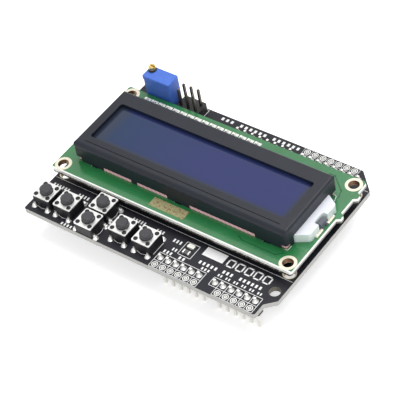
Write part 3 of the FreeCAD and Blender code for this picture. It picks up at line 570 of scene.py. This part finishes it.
# Rows of plain printed bars
barMarks = {
    # Share of the pitch that a bar takes
    "fill": 0.5,
    # X and Y of the first bar, number of bars, their pitch and height
    "rows": [
        # Behind the front headers
        (42.9, 5.9, 5, 1.25, 1.05), (50.4, 6.1, 3, 1.2, 1.05), (55.6, 6.2, 6, 1.25, 1.05),
        (44.7, 4.5, 3, 1.0, 0.85), (49.9, 4.7, 2, 0.85, 0.8), (52.4, 4.7, 2, 0.85, 0.8),
        (54.9, 4.7, 2, 0.85, 0.8), (57.4, 4.7, 2, 0.85, 0.8), (59.9, 4.7, 2, 0.85, 0.8),
        (62.4, 4.7, 2, 0.85, 0.8),
        # Round the lamp
        (32.3, 4.45, 3, 1.05, 1.0), (37.3, 4.45, 2, 1.2, 1.0), (32.4, 8.7, 3, 1.05, 1.1),
        (34.0, 6.1, 2, 0.9, 1.0),
        # Behind the display
        (16.9, 52.3, 3, 1.59, 1.05), (23.3, 52.3, 6, 1.59, 1.05), (34.4, 52.3, 6, 1.59, 1.05),
        # Beside the switches
        (-9.8, 9.3, 6, 1.0, 1.1), (-0.9, 9.35, 4, 1.03, 1.1), (3.9, 9.5, 2, 1.03, 1.1),
        (1.4, -1.05, 4, 1.03, 0.9), (18.0, 9.5, 5, 0.95, 1.1), (26.2, 9.3, 3, 1.0, 1.1),
    ],
}
for x, y, count, pitch, height in barMarks["rows"]:
    bar = inkBar(x, y, x + pitch * barMarks["fill"], y + height, shieldTop)
    shieldInk += repeated(bar, Vector((pitch * mm, 0, 0)), count)

# Middle of each switch, and whether it is turned by a quarter
switchPlaces = {
    "select": (-7.0, 4.4, False), "left": (0.45, 4.4, False), "up": (9.8, 8.45, True),
    "down": (9.85, 1.85, True), "right": (19.5, 4.65, False), "reset": (27.5, 4.55, False),
}
# An arc between two legs of each switch, bulging away from it, and lines beside some of the switches
arcFacts = {"out": 0.35, "radius": 3.05, "sweep": 62,
            "lines": [(3.3, 2.2, 3.3, 8.7), (30.65, 2.6, 30.65, 7.0)], "fineLine": (8.1, -0.95, 12.0, -0.95)}
for x, y, turned in switchPlaces.values():
    arcX, arcY, towards = (x + arcFacts["out"], y, 0) if turned else (x, y - arcFacts["out"], 270)
    start = towards - arcFacts["sweep"] / 2
    shieldInk.append(inkArc(arcX, arcY, arcFacts["radius"], start, arcFacts["sweep"], shieldTop))
for line in arcFacts["lines"]:
    shieldInk.append(inkLine(*line, shieldTop))
shieldInk.append(inkLine(*arcFacts["fineLine"], shieldTop, inkFacts["fine"]))
roundOver(joinAs("shield_print", shieldInk, "whiteInk"), inkFacts["rim"] * mm)
print("shield print done:", len(shieldInk), "marks")

# Print on the display board: short white lines and dark tracks at the bezel's right corners, and a tan field
lcdInkFacts = {
    "lines": [
        [(62.7, 17.9), (63.5, 18.1), (63.5, 21.0)],
        [(62.7, 41.4), (62.7, 40.2), (64.1, 39.9), (64.6, 38.2)],
    ],
    "tracks": [
        [(49.5, 16.0), (50.9, 15.2), (61.4, 15.2), (63.2, 16.7)],
        [(58.0, 45.9), (59.8, 45.9), (64.2, 42.1), (64.9, 39.6)],
    ],
    "trackWidth": 0.3, "tan": (21.4, 13.5, 33.0, 16.6),
}


def inkPath(places, top, width):
    return [inkStroke(*start, *end, top, width) for start, end in zip(places, places[1:])]


lcdInk = []
for line in lcdInkFacts["lines"]:
    lcdInk += inkPath(line, lcdTop, inkFacts["line"])
roundOver(joinAs("display_print", lcdInk, "whiteInk"), inkFacts["rim"] * mm)
tracks = []
for track in lcdInkFacts["tracks"]:
    tracks += inkPath(track, lcdTop, lcdInkFacts["trackWidth"])
roundOver(joinAs("display_tracks", tracks, "trackMask"), inkFacts["rim"] * mm)
tanField = inkBar(*lcdInkFacts["tan"], lcdTop)
roundOver(joinAs("display_tan_field", [tanField], "tanInk"), inkFacts["rim"] * mm)

# Ring pads: a plated sleeve through the board, with a flat ring round each end. Rows have X, Y and a count.
padFacts = {"collar": 0.92, "collarInside": 0.68, "sleeve": 0.45, "hole": 0.22, "proud": 0.035,
            "rows": [(33.02, 0.0, 6), (53.34, 0.0, 5), (45.72, 53.03, 7)]}


def addRingPad(x, y, low, high, facts):
    proud = facts["proud"] * mm
    collar, inside = facts["collar"] * mm, facts["collarInside"] * mm
    sleeve, hole = facts["sleeve"] * mm, facts["hole"] * mm
    rings = [addRing(spot(x, y, high), collar, inside, proud)]
    rings.append(addRing(spot(x, y, low - proud), collar, inside, proud))
    rings.append(addRing(spot(x, y, low - proud), sleeve, hole, high - low + 2 * proud))
    selectOnly(*rings)
    bpy.ops.object.join()
    return settle(bpy.context.object)


pads = []
for x, y, count in padFacts["rows"]:
    pads += repeated(addRingPad(x, y, shieldLow.z, shieldTop, padFacts), pitchStep, count)
joinAs("ring_pads", pads, "padTin", smooth=40)

# Rings round the screw holes of both boards, with a copper sleeve in each hole. The display board's nubs
# stand out at its right, past the side from which the holes are measured.
screwRing = {"collar": 2.42, "sleeve": 1.64, "hole": 1.56, "proud": 0.04, "inset": 2.5, "shieldCollar": 1.9,
             "nub": 1.1, "sides": 48}
proud = screwRing["proud"] * mm
inset = screwRing["inset"] * mm
hole = screwRing["hole"] * mm
firstHole = Vector((lcdLow.x + inset, lcdLow.y + inset, 0))
acrossX = Vector((lcdHigh.x - screwRing["nub"] * mm - lcdLow.x - 2 * inset, 0, 0))
acrossY = Vector((0, lcdHigh.y - lcdLow.y - 2 * inset, 0))


def atEachHole(piece):
    # A ring or sleeve of the first hole, and its copies at the other three
    return [piece] + [copyTo(piece, offset) for offset in (acrossX, acrossY, acrossX + acrossY)]


collars = []
for foot, collar in ((lcdTop, "collar"), (lcdLow.z - proud, "collar"), (shieldTop, "shieldCollar"),
                     (shieldLow.z - proud, "shieldCollar")):
    ring = addRing(firstHole + Vector((0, 0, foot)), screwRing[collar] * mm, hole, proud, screwRing["sides"])
    collars += atEachHole(ring)
sleeves = []
for low, high in ((lcdLow.z, lcdTop), (shieldLow.z, shieldTop)):
    foot = firstHole + Vector((0, 0, low))
    sleeves += atEachHole(addRing(foot, screwRing["sleeve"] * mm, hole, high - low, screwRing["sides"]))
joinAs("screw_rings", collars, "ringTin", smooth=40)
joinAs("screw_sleeves", sleeves, "holeCopper", smooth=40)

# The corner screw hole's wall gets a thin dark sleeve: painted shade inside the hole
cornerHole = {"wall": 0.05}
for mount in frame["record"]["mounts"]:
    if mount["name"] == "corner_screw_hole":
        x, y = mount["pos_m"][:2]
        radius = mount["dims"]["r_mm"] * mm
        inside = radius - cornerHole["wall"] * mm
        length = shieldTop - shieldLow.z
        wall = addRing(Vector((x, y, shieldLow.z)), radius, inside, length, screwRing["sides"])
        joinAs("corner_hole_painted_shade", [wall], "dullTinAndShade", smooth=40)
print("ring pads and screw rings done")

# Solder: a cone with hollow flanks round each pin, modelled once for each row and copied along it
solderFacts = {"foot": 0.86, "neck": 0.4, "height": 0.95, "waistAt": 0.32, "waist": 0.74, "sides": 20,
               "round": 0.1}


def addFillet(centre, facts):
    foot, neck, height = facts["foot"] * mm, facts["neck"] * mm, facts["height"] * mm
    bpy.ops.object.select_all(action="DESELECT")
    bpy.ops.mesh.primitive_cone_add(vertices=facts["sides"], radius1=foot, radius2=neck, depth=height,
                                    location=centre + Vector((0, 0, height / 2)))
    cone = settle(bpy.context.object)
    level = centre + Vector((0, 0, facts["waistAt"] * height))
    bpy.ops.object.mode_set(mode="EDIT")
    bpy.ops.mesh.select_all(action="SELECT")
    bpy.ops.mesh.bisect(plane_co=level, plane_no=(0, 0, 1))
    slack = height * 0.01
    pickEdges(lambda edge: all(abs(v.co.z - level.z) < slack for v in edge.verts))
    bpy.ops.transform.resize(value=(facts["waist"], facts["waist"], 1), center_override=level)
    pickEdges(lambda edge: all(v.co.z > centre.z + height - slack for v in edge.verts))
    bpy.ops.mesh.bevel(offset=facts["round"] * mm, segments=2, affect="EDGES")
    bpy.ops.object.mode_set(mode="OBJECT")
    return cone


# Pin rows with X and Y of the first pin and a count. The left row of the two at the back has less solder.
fullRows = [(33.02, 2.54, 6), (50.8, 2.54, 6), (45.72, 50.8, 8)]
lessRow = (23.88, 50.8, 8)
displayRow = (-3.55, 45.51, 16)
lessSolder = dict(solderFacts, foot=0.6, height=0.6)
joints = []
for (x, y, count), top, facts in [(row, shieldTop, solderFacts) for row in fullRows] + [
        (lessRow, shieldTop, lessSolder), (displayRow, lcdTop, solderFacts)]:
    joints += repeated(addFillet(spot(x, y, top), facts), pitchStep, count)
pinSolder = joinAs("pin_solder", joints, "solderTin", smooth=60)
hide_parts("solder_joints")

# Solder at the switch legs: lower, with fuller flanks
legSolder = dict(solderFacts, foot=0.84, neck=0.45, height=0.75, waistAt=0.4, waist=0.92, offset=2.3, row=3.5)
master = addFillet(spot(0, 0, shieldTop), legSolder)
joints = []
for x, y, turned in switchPlaces.values():
    for along in (-legSolder["offset"], legSolder["offset"]):
        for side in (-legSolder["row"], legSolder["row"]):
            dx, dy = (side, along) if turned else (along, side)
            joints.append(copyTo(master, spot(x + dx, y + dy) - spot(0, 0)))
remove(master)
legJoints = joinAs("leg_solder", joints, "solderTin", smooth=60)

# Square tinned pads of the display header, on the display board
squarePads = {"size": 2.2, "height": 0.04}
x, y, count = displayRow
s = squarePads["size"] / 2
squarePad = addBar(spot(x - s, y - s, lcdTop), spot(x + s, y + s, lcdTop + squarePads["height"] * mm))
pads = repeated(squarePad, pitchStep, count)
roundOver(joinAs("display_header_pads", pads, "padTin"), inkFacts["rim"] * mm)
print("solder done")

# Rivet heads of the switch covers: low domes over the moulded posts
rivetFacts = {"radius": 0.64, "height": 0.14, "offset": 2.05, "round": 0.08, "sides": 20}
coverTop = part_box("select_switch_cover")[1].z
rivetHeight = rivetFacts["height"] * mm
bpy.ops.object.select_all(action="DESELECT")
bpy.ops.mesh.primitive_cylinder_add(vertices=rivetFacts["sides"], radius=rivetFacts["radius"] * mm,
                                    depth=rivetHeight, location=spot(0, 0, coverTop + rivetHeight / 2))
master = settle(bpy.context.object)
bpy.ops.object.mode_set(mode="EDIT")
pickFaces(lambda face: face.normal.z > 0.5)
bpy.ops.mesh.bevel(offset=rivetFacts["round"] * mm, segments=3, affect="EDGES")
bpy.ops.object.mode_set(mode="OBJECT")
heads = []
for x, y, turned in switchPlaces.values():
    for dx in (-rivetFacts["offset"], rivetFacts["offset"]):
        for dy in (-rivetFacts["offset"], rivetFacts["offset"]):
            heads.append(copyTo(master, spot(x + dx, y + dy) - spot(0, 0)))
remove(master)
rivets = joinAs("switch_rivets", heads, "switchNylon", smooth=50)

# Chips: bright metal end caps over their bodies
capFacts = {"length": 0.38, "over": 0.03, "round": 0.04}
over, capLength = capFacts["over"] * mm, capFacts["length"] * mm
capped = []
for node in ("led_resistor", "power_led"):
    low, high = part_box(node)
    start = Vector((low.x - over, low.y - over, low.z))
    end = Vector((low.x - over + capLength, high.y + over, high.z + over))
    offset = Vector((high.x - low.x + 2 * over - capLength, 0, 0))
    capped += repeated(addBar(start, end, capFacts["round"] * mm), offset, 2)
joinAs("chip_caps", capped, "solderTin", smooth=40)

# Long beads of solder on the pads in front of the side lamp and behind it
lampPads = {"length": 3.1, "width": 0.75, "height": 0.55, "fromMiddle": 1.2, "outside": 0.1, "round": 0.18}
low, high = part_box("backlight_led")
middle = (low.y + high.y) / 2
near = middle + lampPads["fromMiddle"] * mm
far = near + lampPads["length"] * mm
start = Vector((high.x - lampPads["width"] * mm, near, lcdTop))
end = Vector((high.x + lampPads["outside"] * mm, far, lcdTop + lampPads["height"] * mm))
beads = repeated(addBar(start, end, lampPads["round"] * mm), Vector((0, 2 * middle - near - far, 0)), 2)
joinAs("lamp_solder", beads, "ringTin", smooth=40)
# The lamp's bright end terminals
terminals = {"length": 0.4, "over": 0.05, "height": 0.8, "depth": 0.9, "round": 0.05}
over, length = terminals["over"] * mm, terminals["length"] * mm
start = Vector((high.x - terminals["depth"] * mm, low.y - over, lcdTop))
end = Vector((high.x + over, low.y - over + length, lcdTop + terminals["height"] * mm))
offset = Vector((0, high.y - low.y + 2 * over - length, 0))
ends = repeated(addBar(start, end, terminals["round"] * mm), offset, 2)
joinAs("lamp_terminals", ends, "solderTin", smooth=40)
print("small parts done")

# Camera at the photograph's place, worked out from the header grid and the display board
cameraFacts = {"place": (230.47, -232.70, 344.34), "turn": (43.592, 8.353, 36.181), "lens": 156.25,
               "sensor": 36.0, "near": 10.0}
cameraData = bpy.data.cameras.new("camera")
camera = bpy.data.objects.new("camera", cameraData)
bpy.context.scene.collection.objects.link(camera)
camera.location = Vector(cameraFacts["place"]) * mm
camera.rotation_euler = Euler([math.radians(a) for a in cameraFacts["turn"]])
cameraData.lens = cameraFacts["lens"]
cameraData.sensor_width = cameraFacts["sensor"]
cameraData.clip_start = cameraFacts["near"] * mm
bpy.context.scene.camera = camera

# Pale floor, which the camera and reflections see as near white
floorFacts = {"size": 3.0, "colour": "#f4f4f4", "roughness": 0.9, "level": 0.1, "glow": 0.52}
bpy.ops.object.select_all(action="DESELECT")
bpy.ops.mesh.primitive_plane_add(size=floorFacts["size"], location=(0, 0, cadLow.z))
floor = settle(bpy.context.object)
floor.name = "floor"
paper = bpy.data.materials.new("white_paper")
paper.use_nodes = True
tree = paper.node_tree
shader = tree.nodes["Principled BSDF"]
shader.inputs["Base Color"].default_value = colour(floorFacts["colour"])
shader.inputs["Roughness"].default_value = floorFacts["roughness"]
shader.inputs["Specular IOR Level"].default_value = floorFacts["level"]
rays = addNode(tree, "ShaderNodeLightPath")
looked = addNode(tree, "ShaderNodeMath", {"operation": "MAXIMUM"},
                 {0: rays.outputs["Is Camera Ray"], 1: rays.outputs["Is Glossy Ray"]})
glow = addNode(tree, "ShaderNodeMath", {"operation": "MULTIPLY", 1: floorFacts["glow"]},
               {0: looked.outputs["Value"]})
light = addNode(tree, "ShaderNodeEmission", {"Color": (1, 1, 1, 1)}, {"Strength": glow.outputs[0]})
both = addNode(tree, "ShaderNodeAddShader", links={0: shader.outputs["BSDF"], 1: light.outputs["Emission"]})
tree.links.new(both.outputs["Shader"], tree.nodes["Material Output"].inputs["Surface"])
floor.data.materials.append(paper)
floor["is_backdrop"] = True

# Soft studio light: a large overhead panel, a weaker one from the front right, and a plain surround
lampFacts = [
    {"name": "overhead", "place": (0.05, 0.35, 0.95), "size": 0.9, "power": 8.0},
    {"name": "front_fill", "place": (0.55, -0.6, 0.4), "size": 0.6, "power": 3.0},
]
for facts in lampFacts:
    data = bpy.data.lights.new(facts["name"], "AREA")
    data.size = facts["size"]
    data.energy = facts["power"]
    lamp = bpy.data.objects.new(facts["name"], data)
    bpy.context.scene.collection.objects.link(lamp)
    lamp.location = facts["place"]
    lamp.rotation_euler = (-Vector(facts["place"])).to_track_quat("-Z", "Y").to_euler()
world = bpy.data.worlds.new("surround")
bpy.context.scene.world = world
world.use_nodes = True
tree = world.node_tree
surroundFacts = {"strength": 0.5, "seen": 1.0}
rays = addNode(tree, "ShaderNodeLightPath")
direct = addNode(tree, "ShaderNodeMath", {"operation": "MAXIMUM"},
                 {0: rays.outputs["Is Camera Ray"], 1: rays.outputs["Is Glossy Ray"]})
seenBy = addNode(tree, "ShaderNodeMath", {"operation": "MAXIMUM"},
                 {0: direct.outputs["Value"], 1: rays.outputs["Is Transmission Ray"]})
seen = addNode(tree, "ShaderNodeMix",
               {"data_type": "FLOAT", 2: surroundFacts["strength"], 3: surroundFacts["seen"]},
               {0: seenBy.outputs["Value"]})
tree.links.new(seen.outputs[0], tree.nodes["Background"].inputs["Strength"])
tree.nodes["Background"].inputs["Color"].default_value = (1, 1, 1, 1)
bpy.context.scene.view_settings.view_transform = "Standard"
print("camera, floor and light done")

low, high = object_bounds()
